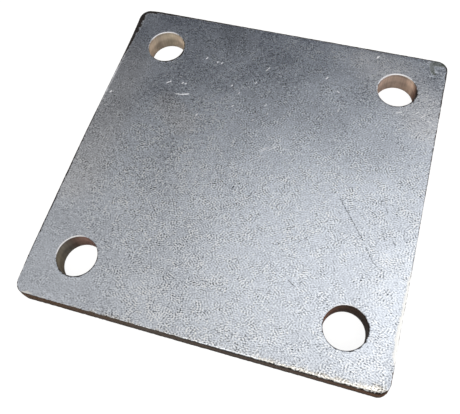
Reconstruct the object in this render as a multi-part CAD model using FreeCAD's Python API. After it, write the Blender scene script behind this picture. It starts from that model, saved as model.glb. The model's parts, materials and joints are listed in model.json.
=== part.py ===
import FreeCAD, Part
import os

# U-bolt plate: one flat steel square with a hole near each corner. The threaded legs of two U-bolts
# pass through the holes, and nuts on the upper face pull a round tube up against the lower face.
# The hole pattern is as wide as it is deep, so the tube can lie along either side of the plate.
# Millimetres. The origin is the middle of the lower face, +X right, +Y back, +Z up.

# What the plate clamps
TUBE_DIAMETER = 76.0          # outer diameter of the tube inside the U-bolts
ROD_DIAMETER = 12.0           # of the U-bolts' round bar
ROD_CLEARANCE = 1.5           # a hole is this much wider than the bar that goes through it

# The plate itself
THICKNESS = 8.0
EDGE_MARGIN = 16.0            # from a hole's centre to the nearest two edges
CORNER_RADIUS = 4.0           # of the outline, seen from above

# Tumbling wears the sharp edges round. The lower rims of the holes, where the tool comes out, are
# first bevelled to take the burr off.
UPPER_EDGE_ROUND = 0.6        # outline, upper side
LOWER_EDGE_ROUND = 0.4        # outline, lower side
UPPER_RIM_ROUND = 0.5         # rims of the holes, upper side
LOWER_RIM_BEVEL = 0.4         # rims of the holes, lower side

# A U-bolt's legs stand one bar diameter further apart than the tube is wide, centre to centre
LEG_SPACING = TUBE_DIAMETER + ROD_DIAMETER
HOLE_DIAMETER = ROD_DIAMETER + ROD_CLEARANCE
PLATE_SIDE = LEG_SPACING + 2 * EDGE_MARGIN

UP = FreeCAD.Vector(0, 0, 1)


def rounded_square(side, radius):
    """A face in the XY plane, centred on the origin: a square whose corners are arcs."""
    middle = side / 2
    straight = middle - radius
    bend = radius * 0.5 ** 0.5
    edges = []
    for quarter in range(4):
        turn = FreeCAD.Rotation(UP, 90 * quarter)
        side_start, side_end, arc_middle, arc_end = (
            turn.multVec(FreeCAD.Vector(x, y, 0))
            for x, y in (
                (middle, -straight),
                (middle, straight),
                (straight + bend, straight + bend),
                (straight, middle),
            )
        )
        edges.append(Part.LineSegment(side_start, side_end).toShape())
        edges.append(Part.Arc(side_end, arc_middle, arc_end).toShape())
    return Part.Face(Part.Wire(edges))


def leg_holes():
    """One round cutter for each of the four legs, longer than the plate is thick."""
    spare = THICKNESS
    reach = LEG_SPACING / 2
    return [
        Part.makeCylinder(
            HOLE_DIAMETER / 2,
            THICKNESS + 2 * spare,
            FreeCAD.Vector(x, y, -spare),
            UP,
        )
        for x in (-reach, reach)
        for y in (-reach, reach)
    ]


def edges_at(solid, height, of_holes):
    """The edges that lie flat at a height: the rims of the holes, or the edges of the outline."""
    found = []
    for edge in solid.Edges:
        box = edge.BoundBox
        flat = abs(box.ZMin - height) < 1e-6 and abs(box.ZMax - height) < 1e-6
        if flat and (len(edge.Vertexes) == 1) == of_holes:
            found.append(edge)
    return found


def worn(solid):
    """Round both edges of the outline and the upper rims of the holes, and bevel the lower rims."""
    for height, of_holes, radius in (
        (THICKNESS, False, UPPER_EDGE_ROUND),
        (0.0, False, LOWER_EDGE_ROUND),
        (THICKNESS, True, UPPER_RIM_ROUND),
    ):
        solid = solid.makeFillet(radius, edges_at(solid, height, of_holes))
    return solid.makeChamfer(LOWER_RIM_BEVEL, edges_at(solid, 0.0, of_holes=True))


def u_bolt_plate():
    """The whole plate: a slab with four holes, its edges worn."""
    slab = rounded_square(PLATE_SIDE, CORNER_RADIUS).extrude(UP * THICKNESS)
    return worn(slab.cut(leg_holes()))


plate = u_bolt_plate()
os.makedirs("parts", exist_ok=True)
plate.exportStep("parts/u_bolt_plate.step")
print("volume cm3", round(plate.Volume / 1000, 2), "valid", plate.isValid(), "solids", len(plate.Solids))
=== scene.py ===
import json
import math

import bpy
import numpy as np
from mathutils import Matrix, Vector


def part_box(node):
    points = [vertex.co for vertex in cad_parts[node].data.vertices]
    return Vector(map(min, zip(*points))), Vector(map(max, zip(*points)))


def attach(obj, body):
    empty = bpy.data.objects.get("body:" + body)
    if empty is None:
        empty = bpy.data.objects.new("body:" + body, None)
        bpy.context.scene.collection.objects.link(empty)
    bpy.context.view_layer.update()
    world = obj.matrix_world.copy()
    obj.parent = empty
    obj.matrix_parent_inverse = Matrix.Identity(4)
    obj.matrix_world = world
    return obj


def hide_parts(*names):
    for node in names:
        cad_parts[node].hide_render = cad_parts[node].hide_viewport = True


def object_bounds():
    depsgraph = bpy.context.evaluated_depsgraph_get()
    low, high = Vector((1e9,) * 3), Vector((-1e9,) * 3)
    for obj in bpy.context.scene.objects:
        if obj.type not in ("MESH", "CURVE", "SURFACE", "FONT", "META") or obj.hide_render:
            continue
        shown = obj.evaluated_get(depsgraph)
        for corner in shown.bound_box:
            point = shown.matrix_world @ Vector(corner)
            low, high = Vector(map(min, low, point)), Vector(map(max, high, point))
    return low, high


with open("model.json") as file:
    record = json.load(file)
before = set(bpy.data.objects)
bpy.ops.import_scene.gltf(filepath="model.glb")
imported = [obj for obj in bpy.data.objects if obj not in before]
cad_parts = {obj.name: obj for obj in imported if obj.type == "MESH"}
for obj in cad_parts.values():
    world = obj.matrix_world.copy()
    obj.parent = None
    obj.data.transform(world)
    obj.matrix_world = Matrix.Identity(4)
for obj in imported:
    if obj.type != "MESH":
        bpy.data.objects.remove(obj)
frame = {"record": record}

cad_box = [list(corner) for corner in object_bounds()]

# The plate: one square of hot-rolled steel, blanked with its four leg holes and then tumbled with stones.
# Blanking rolls the upper edges over, most at the corners, and leaves streaked brown scale on the cut walls.
MM = 0.001
far_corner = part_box("u_bolt_plate")[1]
legs = next(m for m in frame["record"]["mounts"] if m["name"] == "leg_pattern")
HALF_SIDE, TOP = far_corner.x, far_corner.z
LEG_REACH = legs["dims"]["spacing_x_mm"] / 2 * MM
HOLE_RADIUS = legs["dims"]["hole_r_mm"] * MM
CORNER_RADIUS = 4.0 * MM
LOWER_CORNER = 3.0 * MM                 # the blank is sharper there, where nothing pulled the corner in
STRAIGHT = HALF_SIDE - CORNER_RADIUS    # half of an edge's straight length
ROLL_REACH = 3.2 * MM                   # how far in from the outline the upper edge may be rounded
LOWER_REACH = 0.8 * MM                  # the same for the lower edge
LOWER_ROUND = 0.12 * MM                 # of the lower outline and the holes' lower rims
EDGE_ROUND = 0.32 * MM                  # of the upper outline, where it is worn least
# Points along each middle line, each straight side and each corner's arc of a quarter of the plate:
MIRROR_COLUMNS, SIDE_COLUMNS, ARC_COLUMNS = 64, 180, 40
# Rows of points, as shares of the way: over the upper face from the hole outwards, down the outline's wall,
# and over the lower face from the outline inwards
FACE_ROWS = (0.01, 0.03, 0.07, 0.14, 0.26, 0.4, 0.54, 0.66, 0.76, 0.84, 0.9, 0.945, 0.98, 1.0)
WALL_ROWS = (0.05, 0.12, 0.25, 0.45, 0.72, 0.86, 1.0)
LOWER_ROWS = (0.0, 0.1, 0.35, 0.7, 1.0)
SHARPER_BY = 0.45                       # how far down the wall a corner reaches its lower radius
SAME_POINT = 1e-4 * MM                  # points nearer than this are one
# The unevenness that blanking and tumbling leave:
ROLL_WIDTH = 2.4 * MM                   # how far in from the outline the upper face starts to fall
EVEN_ROLL = 0.03 * MM                   # how far it falls everywhere
FACE_WAVE = 0.012 * MM                  # how much the upper face waves
WALL_WAVE, WALL_GRAIN = 0.018, 0.02     # how much the walls waver, slowly and quickly, in millimetres

# Places near the outline, (x, y, spread in x, spread in y, amount), all in millimetres.
# Where the upper edge is worn rounder, and by how much:
ROUNDER = [(-60, 44, 3, 14, 2.1), (-60, 18, 3, 10, 0.7), (-60, -25, 3, 26, 0.3), (58, -58, 6, 6, 0.4),
           (60, -43, 3, 7, 1.3), (-60, -56, 4, 5, 0.7), (36, -60, 20, 3, 0.20)]
# Where blanking pulled the upper edge down, and how deep:
ROLLED = [(-60, 59, 4, 4, 0.10), (59, 59, 4, 4, 0.03), (59, -59, 7, 7, 0.36), (-59, -59, 5, 4, 0.16),
          (34, -60, 24, 5, 0.15), (60, -38, 5, 13, 0.36), (-60, 40, 5, 18, 0.08)]
# Where the rounded edge is painted near black as a dark reflection, and how far in:
PAINTED_DARK_PLACES = [(-60, 0, 2, 60, 0.68), (0, 60, 90, 2, 0.58), (60, 46, 2, 30, 0.28), (-60, 55, 5, 5, 2.4),
         (-60, 45, 4, 7, 1.7), (-44, 60, 12, 3, 0.45), (60, 54, 3, 5, 0.12)]
# Where a highlight is painted on the rounded edge, and where the edge is dull steel with painted shade:
EDGE_HIGHLIGHT_PLACES = [(60, -44, 1.2, 6, 1.0), (60, -29, 0.7, 8, 0.8), (-55.4, -59.55, 1.2, 0.13, 0.85),
          (-50.0, -59.6, 4, 0.16, 0.50)]
DULLED_AND_SHADED_PLACES = [(44, -60, 22, 1.0, 1.0), (57, -58.7, 3, 1.3, 0.8), (-25, -60, 22, 0.6, 0.6)]
# Knocks on the upper face, most of them at the back right corner, and how deep:
KNOCKS = [(53.4, 57.0, 0.8, 0.7, 0.10), (56.2, 54.3, 0.4, 0.4, 0.12), (55.0, 52.3, 0.6, 0.5, 0.07),
          (57.6, 56.4, 0.6, 0.5, 0.08), (58.8, 48.0, 0.4, 0.6, 0.06), (59.2, 41.5, 0.4, 0.5, 0.07),
          (59.4, 27.0, 0.4, 0.6, 0.06), (-58.8, -55.0, 0.5, 0.7, 0.05), (-43.0, -59.0, 0.6, 0.4, 0.05),
          (-12.0, -59.4, 0.5, 0.3, 0.06), (17.0, -59.3, 0.6, 0.4, 0.07), (38.0, -59.4, 0.5, 0.3, 0.06),
          (52.5, -58.8, 0.8, 0.4, 0.12), (57.6, -57.4, 0.5, 0.5, 0.12), (59.2, -52.0, 0.3, 0.6, 0.10)]
# The worn rim of each hole, (side in x, side in y): its rounding, how far the painted dark reflection at the
# front reaches, and the angle of its painted highlight, in degrees anticlockwise from +X, and how much
RIMS = {(-1, 1): (0.42, 0.62, 120, 0.7), (1, 1): (0.50, 0.45, 104, 0.9), (-1, -1): (0.32, 0.32, 143, 1.0),
        (1, -1): (0.40, 0.18, 110, 0.4)}
# Scale on the cut walls, as colours at angles like those, with painted shade: the walls of the front holes
# and
# the outline's front wall are painted far darker than those of the back holes. Each hole's own:
HOLE_SCALE_AND_SHADE = {
    (-1, 1): [(30, 0.72, 0.61, 0.48), (60, 0.63, 0.53, 0.43), (95, 0.51, 0.45, 0.36),
              (135, 0.36, 0.31, 0.255), (185, 0.56, 0.45, 0.35), (270, 0.31, 0.24, 0.18)],
    (1, 1): [(5, 0.03, 0.02, 0.018), (25, 0.28, 0.18, 0.14), (42, 0.70, 0.53, 0.42),
             (75, 0.46, 0.35, 0.29), (105, 0.47, 0.37, 0.31), (150, 0.52, 0.39, 0.33),
             (270, 0.26, 0.19, 0.15)],
    (-1, -1): [(60, 0.19, 0.108, 0.090), (90, 0.27, 0.160, 0.134), (120, 0.190, 0.127, 0.102),
               (134, 0.125, 0.095, 0.078), (145, 0.138, 0.120, 0.101), (165, 0.175, 0.158, 0.130),
               (200, 0.22, 0.19, 0.14), (300, 0.13, 0.10, 0.08)],
    (1, -1): [(10, 0.034, 0.023, 0.017), (60, 0.043, 0.027, 0.0185), (110, 0.066, 0.038, 0.027),
              (160, 0.190, 0.088, 0.056), (270, 0.08, 0.050, 0.034)],
}
# and the outline's, where the angle is taken from the middle of the plate:
EDGE_SCALE_AND_SHADE = [(-135, 0.067, 0.035, 0.018), (-122, 0.062, 0.035, 0.019), (-111, 0.062, 0.042, 0.030),
              (-104, 0.068, 0.051, 0.040), (-87, 0.067, 0.048, 0.036), (-70, 0.061, 0.042, 0.031),
              (-58, 0.070, 0.044, 0.030), (-50, 0.080, 0.036, 0.016), (-42, 0.076, 0.034, 0.015),
              (-30, 0.12, 0.085, 0.06), (20, 0.10, 0.06, 0.045), (90, 0.06, 0.035, 0.025),
              (150, 0.025, 0.018, 0.014), (190, 0.03, 0.02, 0.016)]
# On the outline's wall a darker line lies below the first of these heights, in millimetres, and at the front
# right another above the second
BOTTOM_LINE, TOP_LINE = 2.2, 5.6


def bumps(x, y, places):
    """Sum over the places of amount times a bell curve of the distance to it, all in millimetres."""
    total = np.zeros_like(x)
    for px, py, spread_x, spread_y, amount in places:
        total += amount * np.exp(-((x / MM - px) / spread_x) ** 2 / 2 - ((y / MM - py) / spread_y) ** 2 / 2)
    return total * MM


def waves(points, length, seed, count=36):
    """Smooth noise of about unit size: the sum of cosine waves that run every way, near one wavelength."""
    rng = np.random.default_rng(seed)
    ways = rng.normal(size=(count, 3))
    ways /= np.linalg.norm(ways, axis=1, keepdims=True)
    pitch = 2 * math.pi / (length * rng.uniform(0.7, 1.4, count))
    phase = rng.uniform(0, 2 * math.pi, count)
    return np.cos(points @ (ways * pitch[:, None]).T + phase).sum(-1) * math.sqrt(2 / count)


def scale_and_shade_colour(points, centre, stops):
    """The scale's colour, with its painted shade, at each point, linear between the stops in the point's
    angle about the centre.
    """
    angle = np.degrees(np.arctan2(points[..., 1] - centre[1], points[..., 0] - centre[0]))
    table = np.array(stops)
    bands = [np.interp(angle, table[:, 0], table[:, k], period=360) for k in (1, 2, 3)]
    return np.stack([*bands, np.ones_like(angle)], -1)


def front_right(x, y):
    """How near a point is to the right half of the front wall, rising linearly along it: 0 up to 20 mm left
    of the middle, and 1 from 10 mm right of it."""
    return np.clip((x + 20 * MM) / (30 * MM), 0, 1) * (y < -STRAIGHT)


def wall_bands(points):
    """Darkening of the outline's scale: the product of a factor for the line along the bottom of the wall and
    one for the line along its top at the front right, each falling linearly within a millimetre of height."""
    x, y, height = points[..., 0], points[..., 1], points[..., 2] / MM
    right = front_right(x, y)
    top = 1 - 0.80 * right * np.clip(height - TOP_LINE, 0, 1)
    bottom = 1 - (0.35 + 0.3 * right) * np.clip(BOTTOM_LINE - height, 0, 1)
    return np.stack([top * bottom] * 3 + [np.ones_like(top)], -1)


def quarter_border(inset, radius=CORNER_RADIUS):
    """The border of one quarter of the plate, as a closed loop: out along the middle, up the side, round the
    corner's arc and back along the other side and middle, with the outline moved in by the inset."""
    edge, straight = HALF_SIDE - inset, HALF_SIDE - radius
    out = np.linspace(0, 1, MIRROR_COLUMNS, endpoint=False)
    along = np.linspace(0, 1, SIDE_COLUMNS, endpoint=False)
    turn = np.linspace(0, math.pi / 2, ARC_COLUMNS, endpoint=False)
    arc = radius - inset
    return np.concatenate([
        np.stack([out * edge, out * 0], 1),
        np.stack([along * 0 + edge, along * straight], 1),
        np.stack([straight + arc * np.cos(turn), straight + arc * np.sin(turn)], 1),
        np.stack([(1 - along) * straight, along * 0 + edge], 1),
        np.stack([out * 0, (1 - out) * edge], 1),
    ])


def grid_faces(rows, columns, first, closed, mirrored):
    """Corner numbers of the four-sided faces between neighbouring rows and columns."""
    across = np.arange(columns if closed else columns - 1)
    a = (np.arange(rows - 1)[:, None] * columns + across).ravel()
    b = (np.arange(rows - 1)[:, None] * columns + (across + 1) % columns).ravel()
    faces = np.stack([a, a + columns, b + columns, b], 1) + first
    return faces[:, ::-1] if mirrored else faces


def plate_quarter(sx, sy):
    """The three grids of one quarter, (points, cut mask, scale colour with painted shade, closed): the hole's
    wall with the upper face, the edge of the outline, and the lower face. A column runs from the hole
    straight out to the border, and a rounding is a quarter turn of its radius. The cut mask is 1 on walls and
    falls to 0 over a rounding as the sine or cosine of that turn."""
    centre = np.array([LEG_REACH, LEG_REACH])
    sign = np.array([sx, sy, 1.0])
    rim_round = RIMS[sx, sy][0] * MM
    reach = quarter_border(ROLL_REACH)
    spoke = reach - centre
    spoke /= np.linalg.norm(spoke, axis=1, keepdims=True)

    def ring(radius, height):
        return np.concatenate([centre + spoke * radius, np.full((len(spoke), 1), height)], 1)

    def level(xy, height):
        return np.concatenate([xy, np.full((len(xy), 1), height)], 1)

    wall = [(HOLE_RADIUS, z) for z in np.linspace(LOWER_ROUND, TOP - rim_round, 6)]
    turn = np.linspace(0, math.pi / 2, 6)[1:]
    round_off = [(HOLE_RADIUS + rim_round * (1 - math.cos(a)), TOP - rim_round * (1 - math.sin(a)))
                 for a in turn]
    rows = [ring(r, z) for r, z in wall + round_off]
    masks = [1.0] * len(wall) + list(np.cos(turn))
    inner = rows[-1][:, :2]
    for share in FACE_ROWS:
        rows.append(level(inner + (reach - inner) * share, TOP))
        masks.append(0.0)
    upper = np.stack(rows) * sign
    mask = np.repeat(np.array(masks)[:, None], upper.shape[1], 1)

    first = MIRROR_COLUMNS
    count = 2 * SIDE_COLUMNS + ARC_COLUMNS + 1
    base = quarter_border(0.0)[first:first + count]
    inward = (reach[first:first + count] - base) / ROLL_REACH
    low_base = quarter_border(0.0, LOWER_CORNER)[first:first + count]
    low_inward = (quarter_border(LOWER_REACH, LOWER_CORNER)[first:first + count] - low_base) / LOWER_REACH
    radius = EDGE_ROUND + bumps(base[:, 0] * sx, base[:, 1] * sy, ROUNDER)
    turn = np.linspace(0, math.pi / 2, 9)
    insets = [np.full(count, ROLL_REACH), (radius + ROLL_REACH) / 2]
    insets += [radius * (1 - math.sin(a)) for a in turn]
    heights = [np.full(count, TOP), np.full(count, TOP)]
    heights += [TOP - radius * (1 - math.cos(a)) for a in turn]
    masks = [0.0, 0.0] + list(np.sin(turn))
    sharper = [0.0] * len(masks)            # from 0, the corner's upper radius, to 1, its lower one
    wall_top = heights[-1]
    for share in WALL_ROWS:
        insets.append(np.zeros(count))
        heights.append(wall_top + (LOWER_ROUND - wall_top) * share)
        masks.append(1.0)
        sharper.append(min(1.0, share / SHARPER_BY))
    for a in np.linspace(0, math.pi / 2, 4)[1:]:
        insets.append(np.full(count, LOWER_ROUND * (1 - math.cos(a))))
        heights.append(np.full(count, LOWER_ROUND * (1 - math.sin(a))))
        masks.append(math.cos(a))
        sharper.append(1.0)
    insets.append(np.full(count, LOWER_REACH))
    heights.append(np.zeros(count))
    masks.append(0.0)
    sharper.append(1.0)
    insets, heights, sharper = np.stack(insets), np.stack(heights), np.array(sharper)[:, None, None]
    outline = base * (1 - sharper) + low_base * sharper
    ways = inward * (1 - sharper) + low_inward * sharper
    edge = np.concatenate([outline + ways * insets[..., None], heights[..., None]], 2) * sign
    edge_mask = np.array(masks)[:, None] ** (1 + 0.5 * front_right(base[:, 0] * sx, base[:, 1] * sy))

    outer = quarter_border(LOWER_REACH, LOWER_CORNER)
    inner = ring(HOLE_RADIUS + LOWER_ROUND, 0.0)[:, :2]
    rows = [level(outer + (inner - outer) * share, 0.0) for share in LOWER_ROWS]
    rows.append(ring(HOLE_RADIUS, LOWER_ROUND))
    lower = np.stack(rows) * sign
    masks = [0.0] * (len(LOWER_ROWS) - 1) + [0.3, 1.0]
    lower_mask = np.repeat(np.array(masks)[:, None], lower.shape[1], 1)

    hole = centre * sign[:2]
    stops = HOLE_SCALE_AND_SHADE[sx, sy]
    return [
        (upper, mask, scale_and_shade_colour(upper, hole, stops), True),
        (edge, edge_mask, scale_and_shade_colour(edge, (0.0, 0.0), EDGE_SCALE_AND_SHADE) * wall_bands(edge), False),
        (lower, lower_mask, scale_and_shade_colour(lower, hole, stops), True),
    ]


def outline_distance(x, y):
    """How far inside the outline a point lies, where the outline is a square with round corners."""
    dx, dy = np.abs(x) - STRAIGHT, np.abs(y) - STRAIGHT
    corner = np.hypot(np.maximum(dx, 0), np.maximum(dy, 0)) + np.minimum(np.maximum(dx, dy), 0)
    return CORNER_RADIUS - corner


def painted_edge_light(points):
    """Painted dark reflection and painted highlights on the edges, (depth in the painted dark, share painted
    as highlight). The depth is the most, over the outline and the holes, of the dark's reach less the
    distance from that edge. It is eased where the dark lies wide, and at a hole the reach is greatest towards
    the front right. A rim's highlight is painted on its rounding, by the cosine of the angle from where it is
    strongest, and less dark lies there."""
    x, y, z = points.T
    reach = bumps(x, y, PAINTED_DARK_PLACES) / MM
    depth = (reach - outline_distance(x, y) / MM) / (0.6 + 0.7 * reach)
    share = np.zeros_like(x)
    on_top = np.clip((z - TOP) / (0.1 * MM) + 3, 0, 1)
    for (sx, sy), (rounding, rim_reach, angle, most) in RIMS.items():
        across, back = x - sx * LEG_REACH, y - sy * LEG_REACH
        radius = np.hypot(across, back)
        outside = (radius - HOLE_RADIUS) / MM
        facing = (across * math.cos(math.radians(angle)) + back * math.sin(math.radians(angle))) / radius
        on_rounding = np.clip((rounding + 0.15 - outside) / 0.2, 0, 1)
        rim_shine = most * np.clip(3 * facing - 1.5, 0, 1) * on_rounding * on_top
        share = np.maximum(share, rim_shine)
        front = np.clip((0.8 * across - 0.7 * back) / radius + 0.2, 0, 1)
        depth = np.maximum(depth, rim_reach * front - outside - 0.4 * rim_shine)
    return depth, share


def worn(points):
    """The tumbled plate. Height falls towards the outline by the blanking roll times the square of the
    nearness, knocks take a bell-shaped dip out of the face, and the walls waver outwards and inwards by a few
    hundredths of a millimetre. A point falls in proportion to its height, so the lower face stays flat."""
    p = points.copy()
    x, y, z = p.T
    inside = outline_distance(x, y)
    near = np.clip(1 - inside / ROLL_WIDTH, 0, 1)
    fall = (EVEN_ROLL + bumps(x, y, ROLLED)) * near**2
    fall += bumps(x, y, KNOCKS)
    fall += FACE_WAVE * (1 + waves(p, 17 * MM, 3)) * np.clip(inside / (3 * MM), 0, 1)
    p[:, 2] = z - fall * z / TOP
    slow = WALL_WAVE * waves(p * [1, 1, 0.3], 3.1 * MM, 5)
    quick = WALL_GRAIN * (waves(p, 1.1 * MM, 6) - 1)
    shift = (slow + quick) * MM
    p[:, :2] += shift[:, None] * np.stack([x, y], 1) / HALF_SIDE * near[:, None] ** 4
    return p


points, faces, masks, colours, total = [], [], [], [], 0
for sx, sy in ((-1, -1), (1, -1), (-1, 1), (1, 1)):
    for grid, mask, colour, closed in plate_quarter(sx, sy):
        rows, columns = mask.shape
        faces.append(grid_faces(rows, columns, total, closed, sx * sy < 0))
        points.append(grid.reshape(-1, 3))
        masks.append(mask.ravel())
        colours.append(colour.reshape(-1, 4))
        total += rows * columns
points = np.concatenate(points)
_, keep, place = np.unique(np.round(points / SAME_POINT).astype(np.int64), axis=0,
                           return_index=True, return_inverse=True)
faces = place.ravel()[np.concatenate(faces)]
points, mask, colour = points[keep], np.concatenate(masks)[keep], np.concatenate(colours)[keep]
# Painted dark reflection along the edges and rims, and painted highlights on the rims
painted_dark, rim_highlight = painted_edge_light(points)
# Painted edge highlights and the dull places with painted shade fade out between 1.6 and 2.2 mm down from the
# top
upper_part = np.clip((points[:, 2] - TOP) / (0.6 * MM) + 3.6, 0, 1)
edge_highlight, dulled_and_shaded = (bumps(points[:, 0], points[:, 1], places) / MM * upper_part
                  for places in (EDGE_HIGHLIGHT_PLACES, DULLED_AND_SHADED_PLACES))
points = np.clip(worn(points), np.array(cad_box[0]), np.array(cad_box[1]))

mesh = bpy.data.meshes.new("tumbled_plate")
mesh.from_pydata(points.tolist(), [], faces.tolist())
mesh.update()
mesh.polygons.foreach_set("use_smooth", np.ones(len(mesh.polygons), dtype=bool))
# The cut walls, and the painted dark reflection, painted highlights and painted shade, as attributes
for name, numbers in (("cut_wall", mask), ("painted_dark", painted_dark), ("rim_highlight", rim_highlight), ("edge_highlight", edge_highlight),
                      ("dulled_and_shaded", dulled_and_shaded)):
    mesh.attributes.new(name, "FLOAT", "POINT").data.foreach_set("value", numbers.astype(np.float32))
layer = mesh.attributes.new("scale", "FLOAT_COLOR", "POINT")
layer.data.foreach_set("color", colour.astype(np.float32).ravel())
plate = bpy.data.objects.new("tumbled_plate", mesh)
bpy.context.scene.collection.objects.link(plate)
print("plate: points", len(points), "triangles", 2 * len(faces))

# The finish: bare steel with a fine stone-tumbled mottle. Each stone leaves a dint a half millimetre long,
# so the grey breaks up into tiny pale and dark strokes; a few long scratches and nicks lie over it.
# The bare steel, the painted dark reflection on edges and rims, what else lies on it, and the pale of nicks
# and painted rim highlights, the painted edge highlight, and dull steel with painted shade over a highlight:
STEEL = (0.64, 0.68, 0.745, 1.0)
PAINTED_DARK_COLOUR = (0.017, 0.012, 0.010, 1.0)
OLIVE = (0.060, 0.070, 0.058, 1.0)
BLUSH = (0.62, 0.60, 0.585, 1.0)
PALE_NICK_AND_HIGHLIGHT = (0.80, 0.80, 0.82, 1.0)
HIGHLIGHT_COLOUR = (0.98, 0.97, 0.94, 1.0)
DULL_AND_SHADE_COLOUR = (0.58, 0.57, 0.545, 1.0)


class Nodes:
    """A node tree with short calls to add nodes and join sockets."""

    def __init__(self, tree):
        self.tree = tree

    def add(self, kind, inputs=None, **settings):
        """A new node: settings are written by name, and an input is a value or another node's output."""
        node = self.tree.nodes.new(kind)
        for name, value in settings.items():
            setattr(node, name, value)
        for key, value in (inputs or {}).items():
            self.put(node.inputs[key], value)
        return node

    def put(self, socket, value):
        """Gives an input its value, or joins it to another node's output."""
        if isinstance(value, bpy.types.NodeSocket):
            self.tree.links.new(value, socket)
        else:
            socket.default_value = value

    def math(self, operation, *values):
        """The result of one sum on numbers or outputs."""
        return self.add("ShaderNodeMath", dict(enumerate(values)), operation=operation).outputs[0]

    def vector(self, operation, first, second, output=0):
        """The result of one sum on vectors."""
        return self.add("ShaderNodeVectorMath", {0: first, 1: second}, operation=operation).outputs[output]

    def ramp(self, value, low, high, start=0.0, end=1.0):
        """The value carried smoothly from start to end as it goes from low to high."""
        inputs = {"Value": value, "From Min": low, "From Max": high, "To Min": start, "To Max": end}
        return self.add("ShaderNodeMapRange", inputs, interpolation_type="SMOOTHSTEP").outputs["Result"]

    def noise(self, vector, scale, detail=2.0, roughness=0.5, distortion=0.0):
        """Cloud noise, from 0 to 1."""
        inputs = {"Vector": vector, "Scale": scale, "Detail": detail, "Roughness": roughness,
                  "Distortion": distortion}
        return self.add("ShaderNodeTexNoise", inputs).outputs["Fac"]

    def mix(self, factor, first, second, blend="MIX"):
        """Two colours mixed. A Mix node's colours are its inputs 6 and 7 and its output 2."""
        node = self.add("ShaderNodeMix", data_type="RGBA", blend_type=blend)
        for socket, value in zip((node.inputs[0], node.inputs[6], node.inputs[7]), (factor, first, second)):
            self.put(socket, value)
        return node.outputs[2]


def node_group(name, inputs):
    """An empty shader node group that takes the named inputs and gives one mask:
    (group, its nodes, its input node's outputs, its output socket)."""
    group = bpy.data.node_groups.new(name, "ShaderNodeTree")
    for socket, kind in inputs.items():
        group.interface.new_socket(socket, in_out="INPUT", socket_type=kind)
    group.interface.new_socket("Mask", in_out="OUTPUT", socket_type="NodeSocketFloat")
    nodes = Nodes(group)
    return group, nodes, nodes.add("NodeGroupInput").outputs, nodes.add("NodeGroupOutput").inputs["Mask"]


# Short bent strokes, one to a cell, each turned its own way: what single stones leave
strokes, n, given, result = node_group(
    "stone_strokes", {"Vector": "NodeSocketVector", "Cells": "NodeSocketFloat", "Length": "NodeSocketFloat",
                      "Width": "NodeSocketFloat", "Share": "NodeSocketFloat"})
cell = n.add("ShaderNodeTexVoronoi", {"Vector": given["Vector"], "Scale": given["Cells"]})
chance = n.add("ShaderNodeSeparateColor", {"Color": cell.outputs["Color"]}).outputs
turned = n.add("ShaderNodeVectorRotate",
               {"Vector": n.vector("SUBTRACT", given["Vector"], cell.outputs["Position"]),
                "Angle": n.math("MULTIPLY", chance[0], 2 * math.pi)}, rotation_type="Z_AXIS").outputs[0]
local = n.add("ShaderNodeSeparateXYZ", {"Vector": turned}).outputs
BEND = 350.0                            # per metre: how much a stroke curves
bend = n.math("MULTIPLY", n.math("MULTIPLY", local["X"], local["X"]), BEND)
aside = n.math("ABSOLUTE", n.math("ADD", local["Y"], bend))
length = n.math("MULTIPLY", given["Length"], n.ramp(chance[1], 0.0, 1.0, 0.4, 1.0))
ends = n.ramp(n.math("DIVIDE", n.math("ABSOLUTE", local["X"]), length), 0.5, 1.0, 1.0, 0.0)
across = n.ramp(n.math("DIVIDE", aside, given["Width"]), 0.2, 1.0, 1.0, 0.0)
chosen = n.math("LESS_THAN", chance[2], given["Share"])
n.put(result, n.math("MULTIPLY", n.math("MULTIPLY", ends, across), chosen))

# One straight mark from one point to another, as wide as it is far from that line
streak, n, given, result = node_group(
    "streak", {"Vector": "NodeSocketVector", "From": "NodeSocketVector", "To": "NodeSocketVector",
               "Width": "NodeSocketFloat"})
run = n.vector("SUBTRACT", given["To"], given["From"])
gone = n.vector("SUBTRACT", given["Vector"], given["From"])
share = n.math("DIVIDE", n.vector("DOT_PRODUCT", gone, run, "Value"),
               n.vector("DOT_PRODUCT", run, run, "Value"))
share = n.add("ShaderNodeClamp", {"Value": share}).outputs[0]
nearest = n.add("ShaderNodeVectorMath", {0: run, "Scale": share}, operation="SCALE").outputs[0]
away = n.vector("DISTANCE", gone, nearest, "Value")
n.put(result, n.ramp(n.math("DIVIDE", away, given["Width"]), 0.3, 1.0, 1.0, 0.0))

# Marks on the upper face, each (x, y) of its start, (x, y) of its end, and its width, in millimetres.
# Dark scratches:
SCRATCHES = [
    (33.5, -2.9, 36.4, -6.5, 0.15), (36.4, -6.5, 39.9, -10.8, 0.20), (39.9, -10.8, 43.5, -15.4, 0.18),
    (45.2, -17.7, 46.6, -20.3, 0.17), (46.6, -20.3, 47.9, -21.9, 0.19), (47.9, -21.9, 51.2, -24.1, 0.19),
    (44.9, -16.3, 47.9, -16.8, 0.13), (49.1, -11.7, 50.2, -14.0, 0.13), (52.7, -13.7, 53.5, -14.5, 0.28),
    (48.7, -3.1, 49.2, -4.1, 0.22), (25.8, -19.8, 26.4, -18.6, 0.20), (24.0, -21.6, 24.5, -20.5, 0.18),
    (17.8, -23.7, 18.6, -23.0, 0.20), (1.2, 30.9, 1.7, 30.3, 0.42), (23.9, -34.2, 26.6, -35.8, 0.20),
    (4.2, -9.6, 4.8, -8.1, 0.20), (-12.6, -4.0, -11.5, -0.5, 0.15), (-2.3, -8.3, -1.7, -7.1, 0.26),
    (-4.1, -12.4, -3.4, -10.7, 0.18), (6.8, -13.6, 7.2, -12.5, 0.22), (-11.4, -6.7, -10.8, -5.0, 0.15),
]
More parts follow.
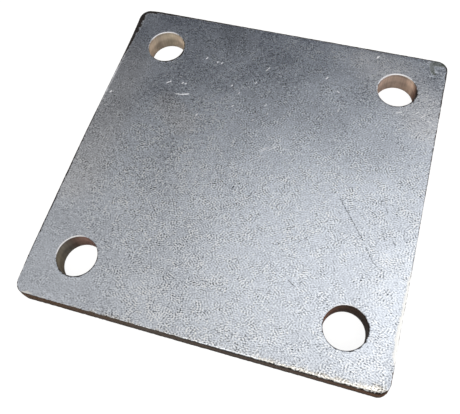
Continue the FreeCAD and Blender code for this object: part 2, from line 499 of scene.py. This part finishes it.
# Pale nicks and rubs:
NICKS = [
    (-38.1, 27.8, -37.6, 28.4, 0.32), (-37.1, 28.5, -36.9, 28.9, 0.36), (-32.5, 28.9, -32.1, 29.4, 0.34),
    (-31.3, 28.9, -30.9, 29.3, 0.34), (-33.2, 23.9, -30.9, 24.2, 0.26), (-30.9, 24.2, -28.7, 24.9, 0.42),
    (-11.5, 23.4, -11.2, 24.0, 0.28), (-23.1, 16.8, -22.8, 17.2, 0.36), (-14.3, 31.9, -14.0, 32.5, 0.28),
    (-10.8, 29.4, -10.5, 29.8, 0.28), (-6.1, 35.1, -5.7, 35.7, 0.26), (-20.9, 40.9, -20.6, 41.5, 0.28),
    (-22.6, 41.0, -22.3, 41.5, 0.28), (-3.6, 41.5, -2.8, 43.3, 0.24), (-0.1, 26.5, 0.3, 27.1, 0.26),
    (1.4, 23.0, 1.8, 23.5, 0.26), (-2.9, 19.3, -2.5, 19.8, 0.26), (-6.9, 9.0, -6.6, 9.5, 0.28),
    (-27.1, 41.9, -26.8, 42.4, 0.36), (-57.5, 19.1, -57.2, 19.6, 0.40), (18.6, 43.1, 18.9, 43.7, 0.40),
    (34.6, 56.6, 35.0, 57.2, 0.44), (3.2, 7.6, 5.0, 9.5, 0.20), (3.7, 9.0, 5.7, 10.2, 0.20),
    (5.9, 8.8, 7.9, 11.1, 0.22), (7.9, 10.7, 9.4, 11.8, 0.20), (10.1, 10.2, 12.7, 11.1, 0.18),
    (11.1, -2.9, 13.1, -1.1, 0.20), (13.3, -1.5, 15.4, 0.7, 0.22), (12.6, -3.1, 14.5, -1.4, 0.18),
    (20.8, -10.6, 23.2, -10.0, 0.20), (16.0, -12.4, 16.8, -10.0, 0.18), (15.0, -13.6, 16.1, -11.9, 0.18),
    (15.9, -8.0, 17.3, -5.4, 0.18), (23.4, 38.7, 24.5, 38.0, 0.24), (25.5, 30.1, 25.8, 31.1, 0.22),
    (53.9, 34.4, 55.1, 35.4, 0.24), (56.4, 33.6, 57.5, 33.0, 0.24), (58.0, 32.3, 58.9, 31.9, 0.24),
    (52.0, 35.7, 52.9, 36.5, 0.22), (45.3, 34.3, 47.2, 35.0, 0.22),
]
# Soft stains, olive where oil burnt on at the back right corner, and faint warm blushes elsewhere:
STAINS = [(54.6, 58.3, 58.4, 58.8, 1.7), (54.1, 57.6, 55.0, 54.6, 1.3), (55.4, 54.0, 55.8, 53.8, 0.8)]
BLUSHES = [(-35.5, 19.5, -26.0, 12.0, 7.0), (-57.0, 34.0, -57.0, -16.0, 15.0), (34.0, 56.0, 58.0, 34.0, 14.0)]
# A darker patch beside the back left hole, and broad ones that are a little darker or paler than the rest:
DUSK = [(-21.0, 58.0, -17.0, 50.0, 9.0)]
DARKER = [(0.0, 33.0, 0.0, 16.0, 13.0), (18.0, 22.0, 38.0, 18.0, 14.0)]
PALER = [(-2.0, 58.0, 18.0, 56.0, 11.0), (-18.0, 20.0, -18.0, -6.0, 11.0), (-57.0, -20.0, -38.0, -22.0, 11.0),
         (-16.0, -57.0, -20.0, -50.0, 11.0), (52.0, -52.0, 56.0, -20.0, 9.0)]
PALEST = [(34.0, 58.0, 57.0, 32.0, 13.0)]


def streak_mask(nodes, vector, lines):
    """The strongest of a list of marks at each point of the upper face."""
    strongest = 0.0
    for x0, y0, x1, y1, width in lines:
        one = nodes.add("ShaderNodeGroup", node_tree=streak)
        nodes.put(one.inputs["Vector"], vector)
        nodes.put(one.inputs["From"], (x0 * MM, y0 * MM, TOP))
        nodes.put(one.inputs["To"], (x1 * MM, y1 * MM, TOP))
        nodes.put(one.inputs["Width"], width * MM)
        strongest = nodes.math("MAXIMUM", strongest, one.outputs["Mask"])
    return strongest


steel = bpy.data.materials.new("tumbled_steel")
steel.use_nodes = True
steel.node_tree.nodes.clear()
n = Nodes(steel.node_tree)
where = n.add("ShaderNodeTexCoord").outputs["Object"]
# Attributes: the cut walls, painted dark reflection, painted rim highlights, painted edge highlights, and
# dull steel with painted shade
cut, painted_dark, rim_highlight, edge_highlight, dulled_and_shaded = (n.add("ShaderNodeAttribute", attribute_name=name).outputs["Fac"]
                                       for name in ("cut_wall", "painted_dark", "rim_highlight", "edge_highlight", "dulled_and_shaded"))
xyz = n.add("ShaderNodeSeparateXYZ", {"Vector": where}).outputs
# The scale's colour on the walls, with painted shade that darkens the front holes and the outline's front
scale = n.add("ShaderNodeAttribute", attribute_name="scale").outputs["Color"]

# Face: patches of fine ripples that lie side by side, grain that is coarser towards the back left, single
# strokes over them, and slow clouds
along = n.add("ShaderNodeMapping", {"Vector": where, "Scale": (0.75, 1.0, 1.0)}).outputs[0]
ripple = n.add("ShaderNodeTexGabor", {"Vector": along, "Scale": 480.0, "Frequency": 3.1, "Anisotropy": 0.0},
               gabor_type="2D").outputs["Value"]
off_front_right = n.vector("DISTANCE", where, (0.03, -0.03, TOP), "Value")
coarse = n.ramp(off_front_right, 0.035, 0.075)
fine_grain = n.noise(along, 2700.0, 2.0, 0.7, 0.7)
coarse_grain = n.noise(along, 1500.0, 2.0, 0.6, 0.7)
grain = n.add("ShaderNodeMix", {0: coarse, 2: fine_grain, 3: coarse_grain}, data_type="FLOAT").outputs[0]
clouds = n.noise(where, 55.0, 3.0, 0.6, 0.3)


def stroke_layer(cells, length, width, share):
    """One layer of stone strokes over the face."""
    node = n.add("ShaderNodeGroup", node_tree=strokes)
    n.put(node.inputs["Vector"], where)
    for key, value in (("Cells", cells), ("Length", length), ("Width", width), ("Share", share)):
        n.put(node.inputs[key], value)
    return node.outputs["Mask"]


pale_strokes = stroke_layer(740.0, 0.70 * MM, 0.13 * MM, 0.6)
dark_strokes = stroke_layer(680.0, 0.70 * MM, 0.13 * MM, 0.6)
pale_flecks = stroke_layer(170.0, 0.5 * MM, 0.20 * MM, 0.20)
dark_flecks = stroke_layer(190.0, 0.6 * MM, 0.20 * MM, 0.25)
dark_lines = streak_mask(n, where, SCRATCHES)
pale_lines = streak_mask(n, where, NICKS)

# How much paler or darker each layer makes the steel, as a share of its colour. The mottle is calmer at the
# front left corner, along the left and at the back, about the front right hole, and in patches.
mottle = n.ramp(ripple, 0.2, 0.8, -0.39, 0.39)
mottle = n.math("ADD", mottle, n.ramp(grain, 0.28, 0.72, -0.41, 0.41))
mottle = n.math("MULTIPLY_ADD", pale_strokes, 0.56, mottle)
mottle = n.math("MULTIPLY_ADD", dark_strokes, -0.44, mottle)
off_front_left = n.vector("DISTANCE", where, (-0.056, -0.056, TOP), "Value")
calm = n.ramp(off_front_left, 0.012, 0.045, 0.5, 1.0)
for calmer in (n.ramp(xyz["X"], -0.060, -0.020, 0.70, 1.0), n.ramp(xyz["Y"], -0.015, 0.045, 1.20, 0.78),
               n.ramp(off_front_right, 0.015, 0.045, 0.78, 1.0),
               n.ramp(n.noise(where, 230.0, 2.0, 0.6), 0.35, 0.65, 0.6, 1.4)):
    calm = n.math("MULTIPLY", calm, calmer)
mottle = n.math("MULTIPLY", mottle, calm)
shade = n.math("ADD", mottle, n.ramp(clouds, 0.3, 0.7, -0.04, 0.04))
for marks, strength in ((pale_flecks, 0.45), (dark_flecks, -0.35), (dark_lines, -0.50), (pale_lines, 0.45)):
    shade = n.math("MULTIPLY_ADD", marks, strength, shade)
for places, strength in ((DUSK, -0.2), (DARKER, -0.09), (PALER, 0.10), (PALEST, 0.24)):
    shade = n.math("MULTIPLY_ADD", streak_mask(n, where, places), strength, shade)
shade = n.math("ADD", shade, 1.0)
shade_colour = n.add("ShaderNodeCombineColor", {0: shade, 1: shade, 2: shade}).outputs[0]
blush = n.math("MULTIPLY", streak_mask(n, where, BLUSHES), 0.35)
rag = n.ramp(n.noise(where, 700.0, 3.0, 0.6), 0.3, 0.7, -1.0, 1.0)
# Dull, warmer steel along the front edge, with painted shade that darkens the window lamp's highlight there
dulled_and_shaded = n.ramp(n.math("MULTIPLY_ADD", rag, 0.25, dulled_and_shaded), 0.3, 0.8)
bare = n.mix(dulled_and_shaded, n.mix(blush, STEEL, BLUSH), DULL_AND_SHADE_COLOUR)
face_colour = n.mix(1.0, bare, shade_colour, "MULTIPLY")
face_rough = n.math("ADD", n.ramp(clouds, 0.3, 0.7, 0.27, 0.33), n.ramp(grain, 0.3, 0.7, -0.03, 0.03))
# Painted highlights on the hole rims, pale and partly metal; the same pale colour serves the nicks
rim_highlight = n.ramp(n.math("MULTIPLY_ADD", rag, 0.04, rim_highlight), 0.1, 0.6, 0.0, 0.95)
nicked = n.math("MULTIPLY", pale_lines, n.ramp(off_front_right, 0.03, 0.06, 0.35, 0.8))
face_colour = n.mix(n.math("MAXIMUM", nicked, rim_highlight), face_colour, PALE_NICK_AND_HIGHLIGHT)
nicked = n.math("MAXIMUM", nicked, n.math("MULTIPLY", rim_highlight, 0.45))    # a rim's painted highlight still shines as metal

# Edges: highlights painted in places, and painted dark reflection along the back and left, with the stains
# at the back right
# Highlights painted on the edges as bright metal
edge_highlight = n.ramp(n.math("MULTIPLY_ADD", rag, 0.12, edge_highlight), 0.35, 0.65)
face_colour = n.mix(edge_highlight, face_colour, HIGHLIGHT_COLOUR)
painted_dark = n.ramp(n.math("MULTIPLY_ADD", rag, 0.25, painted_dark), -0.35, 0.12, 0.0, 0.98)
face_colour = n.mix(painted_dark, face_colour, PAINTED_DARK_COLOUR)
stain = n.math("MULTIPLY", streak_mask(n, where, STAINS), n.ramp(rag, -1.0, 1.0, 0.74, 0.92))
face_colour = n.mix(stain, face_colour, OLIVE)

# Cut walls: brown scale with painted shade, streaked up and down; the burnished band under the upper edge
# is paler
streak_place = n.add("ShaderNodeMapping", {"Vector": where, "Scale": (1.0, 1.0, 0.06)}).outputs[0]
streaks = n.noise(streak_place, 1900.0, 1.0, 0.5)
patches = n.noise(where, 300.0, 2.0, 0.5)
height_mm = n.math("DIVIDE", xyz["Z"], MM)
burnish = n.math("MULTIPLY", n.ramp(height_mm, 3.4, 5.0), n.ramp(height_mm, 6.4, 7.3, 1.0, 0.0))
wall_shade = n.math("ADD", n.ramp(patches, 0.3, 0.7, 0.80, 1.12), n.ramp(streaks, 0.3, 0.7, -0.10, 0.10))
wall_shade = n.math("MULTIPLY_ADD", burnish, 0.35, wall_shade)
wall_tone = n.add("ShaderNodeCombineColor", {0: wall_shade, 1: wall_shade, 2: wall_shade}).outputs[0]
wall_colour = n.mix(1.0, scale, wall_tone, "MULTIPLY")

# Where the worn face ends and the scale begins: partway down the rounded edge, and not evenly
ragged = n.math("ADD", cut, n.ramp(n.noise(where, 900.0, 2.0), 0.3, 0.7, -0.12, 0.12))
ragged = n.math("MULTIPLY_ADD", n.math("MAXIMUM", edge_highlight, n.math("MULTIPLY", rim_highlight, 0.7)), -0.45, ragged)
ragged = n.math("MULTIPLY_ADD", n.math("MULTIPLY", rag, dulled_and_shaded), 0.3, ragged)
on_wall = n.ramp(ragged, 0.60, 0.84)
colour = n.mix(on_wall, face_colour, wall_colour)
covered = n.math("MAXIMUM", n.math("MAXIMUM", on_wall, nicked), n.math("MAXIMUM", painted_dark, stain))
rough = n.math("MULTIPLY_ADD", covered, 0.40, face_rough)
metal = n.ramp(covered, 0.0, 1.0, 1.0, 0.0)

# Relief, in millimetres: the mottle on the face, strokes and scratches, and the streaks on the walls
height = n.math("ADD", n.math("MULTIPLY", ripple, 0.014), n.math("MULTIPLY", grain, 0.008))
height = n.math("MULTIPLY", height, n.ramp(on_wall, 0.0, 1.0, 1.0, 0.0))
for marks, rise in ((dark_strokes, -0.012), (pale_strokes, 0.010), (dark_lines, -0.03)):
    height = n.math("MULTIPLY_ADD", marks, rise, height)
height = n.math("ADD", height, n.math("MULTIPLY", n.math("MULTIPLY", streaks, 0.03), on_wall))
bump = n.add("ShaderNodeBump", {"Height": height, "Strength": 1.0, "Distance": MM}).outputs["Normal"]
shader = n.add("ShaderNodeBsdfPrincipled", {"Base Color": colour, "Roughness": rough, "Metallic": metal,
                                            "Specular IOR Level": 0.04, "Normal": bump})
n.put(n.add("ShaderNodeOutputMaterial").inputs["Surface"], shader.outputs[0])
mesh.materials.append(steel)

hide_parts("u_bolt_plate")
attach(plate, "root")

# The table: a plain white sheet just under the plate. It sends light up at the plate as matt paper does, and
# where it is seen or mirrored it is almost white and keeps a faint shadow.
FLOOR_HALF = 6.0
FLOOR_GAP = 0.05 * MM
floor_mesh = bpy.data.meshes.new("table")
corners = [(x * FLOOR_HALF, y * FLOOR_HALF, -FLOOR_GAP) for x, y in ((-1, -1), (1, -1), (1, 1), (-1, 1))]
floor_mesh.from_pydata(corners, [], [(0, 1, 2, 3)])
floor = bpy.data.objects.new("table", floor_mesh)
bpy.context.scene.collection.objects.link(floor)
white = bpy.data.materials.new("white_table")
white.use_nodes = True
white.node_tree.nodes.clear()
n = Nodes(white.node_tree)
seen = n.add("ShaderNodeLightPath").outputs
shown = n.math("MAXIMUM", seen["Is Camera Ray"],
               n.math("MAXIMUM", seen["Is Glossy Ray"], seen["Is Transmission Ray"]))
lit = n.add("ShaderNodeBsdfDiffuse", {"Color": (0.8, 0.8, 0.8, 1.0)})
faint = n.add("ShaderNodeBsdfDiffuse", {"Color": (0.2, 0.2, 0.2, 1.0)})
glow = n.add("ShaderNodeEmission", {"Color": (1.0, 1.0, 1.0, 1.0), "Strength": 0.92})
both = n.add("ShaderNodeAddShader", {0: faint.outputs[0], 1: glow.outputs[0]})
pick = n.add("ShaderNodeMixShader", {0: shown, 1: lit.outputs[0], 2: both.outputs[0]})
n.put(n.add("ShaderNodeOutputMaterial").inputs["Surface"], pick.outputs[0])
floor_mesh.materials.append(white)

# The light: an even white room, a soft ceiling lamp, a brighter window in front of the plate, and two cloths
# outside the picture, one black and one thin and grey, which the bare steel mirrors as its dark far side.
world = bpy.data.worlds.new("white_room")
bpy.context.scene.world = world
world.use_nodes = True
world.node_tree.nodes.clear()
n = Nodes(world.node_tree)
room = n.add("ShaderNodeBackground", {"Color": (1.0, 1.0, 1.0, 1.0), "Strength": 1.0})
n.put(n.add("ShaderNodeOutputWorld").inputs["Surface"], room.outputs[0])


def toward(azimuth, elevation):
    """A unit vector: the azimuth is counted from straight behind the plate, to the right, both in degrees."""
    az, el = math.radians(azimuth), math.radians(elevation)
    return np.array([math.sin(az) * math.cos(el), math.cos(az) * math.cos(el), math.sin(el)])


def cloth(name, azimuth, elevation, inner, outer, distance, colour):
    """A cap of a sphere about the plate, towards a direction: its points lie at angles from that direction up
    to the outer one. The light that it lets pass goes from white at the outer angle to the colour at the
    inner one, as a smooth step of the angle's cosine."""
    axis = toward(azimuth, elevation)
    side = np.cross(axis, [0.0, 0.0, 1.0])
    side /= np.linalg.norm(side)
    other = np.cross(axis, side)
    off = np.radians(np.linspace(0.5, outer, 49))[:, None, None]
    round_axis = np.linspace(0, 2 * math.pi, 96, endpoint=False)[None, :, None]
    cap = np.cos(off) * axis + np.sin(off) * (np.cos(round_axis) * side + np.sin(round_axis) * other)
    shell = bpy.data.meshes.new(name)
    rows, columns = cap.shape[:2]
    shell.from_pydata((cap * distance).reshape(-1, 3).tolist(), [],
                      grid_faces(rows, columns, 0, True, False).tolist())
    full, none = math.cos(math.radians(inner)), math.cos(math.radians(outer))
    cover = np.clip((np.cos(off[:, 0, 0]) - none) / (full - none), 0, 1)
    cover = np.repeat(cover * cover * (3 - 2 * cover), columns)
    shell.attributes.new("cover", "FLOAT", "POINT").data.foreach_set("value", cover.astype(np.float32))
    screen = bpy.data.objects.new(name, shell)
    bpy.context.scene.collection.objects.link(screen)
    gauze = bpy.data.materials.new(name)
    gauze.use_nodes = True
    gauze.node_tree.nodes.clear()
    g = Nodes(gauze.node_tree)
    passed = g.mix(g.add("ShaderNodeAttribute", attribute_name="cover").outputs["Fac"], (1, 1, 1, 1), colour)
    clear = g.add("ShaderNodeBsdfTransparent", {"Color": passed})
    g.put(g.add("ShaderNodeOutputMaterial").inputs["Surface"], clear.outputs[0])
    shell.materials.append(gauze)
    screen.visible_camera = False


def lamp(name, azimuth, elevation, distance, size, glow, colour):
    """A round lamp that faces the plate: its power is its glow times pi times its area."""
    data = bpy.data.lights.new(name, "AREA")
    data.shape = "DISK"
    data.size = size
    data.energy = glow * math.pi * math.pi * size * size / 4
    data.color = colour
    light = bpy.data.objects.new(name, data)
    way = Vector(toward(azimuth, elevation))
    light.location = way * distance
    light.rotation_euler = way.to_track_quat("Z", "Y").to_euler()
    bpy.context.scene.collection.objects.link(light)


cloth("black_cloth", -11.0, 26.0, 22.0, 51.0, 2.0, (0.045, 0.050, 0.065, 1.0))
cloth("grey_cloth", -140.0, 17.0, 76.0, 94.0, 2.2, (0.56, 0.55, 0.54, 1.0))
lamp("ceiling", 14.0, 72.0, 0.8, 0.56, 0.45, (1.0, 1.0, 1.0))
lamp("window", 168.0, 56.0, 0.8, 0.64, 1.8, (1.0, 0.97, 0.91))

# The camera: above and in front, a little to the right, as the photograph was taken. Its place, turn and
# lens were fitted to the plate's outline and the four hole rims.
camera_data = bpy.data.cameras.new("camera")
camera_data.lens = 44.94
camera_data.shift_x, camera_data.shift_y = -0.0287, -0.0086
camera = bpy.data.objects.new("camera", camera_data)
camera.location = (0.03681, -0.08661, 0.17956)
camera.rotation_euler = [math.radians(a) for a in (25.123, 3.872, 16.225)]
camera_data.clip_start, camera_data.clip_end = 0.005, 20.0
bpy.context.scene.collection.objects.link(camera)
bpy.context.scene.camera = camera
bpy.context.scene.view_settings.view_transform = "Standard"
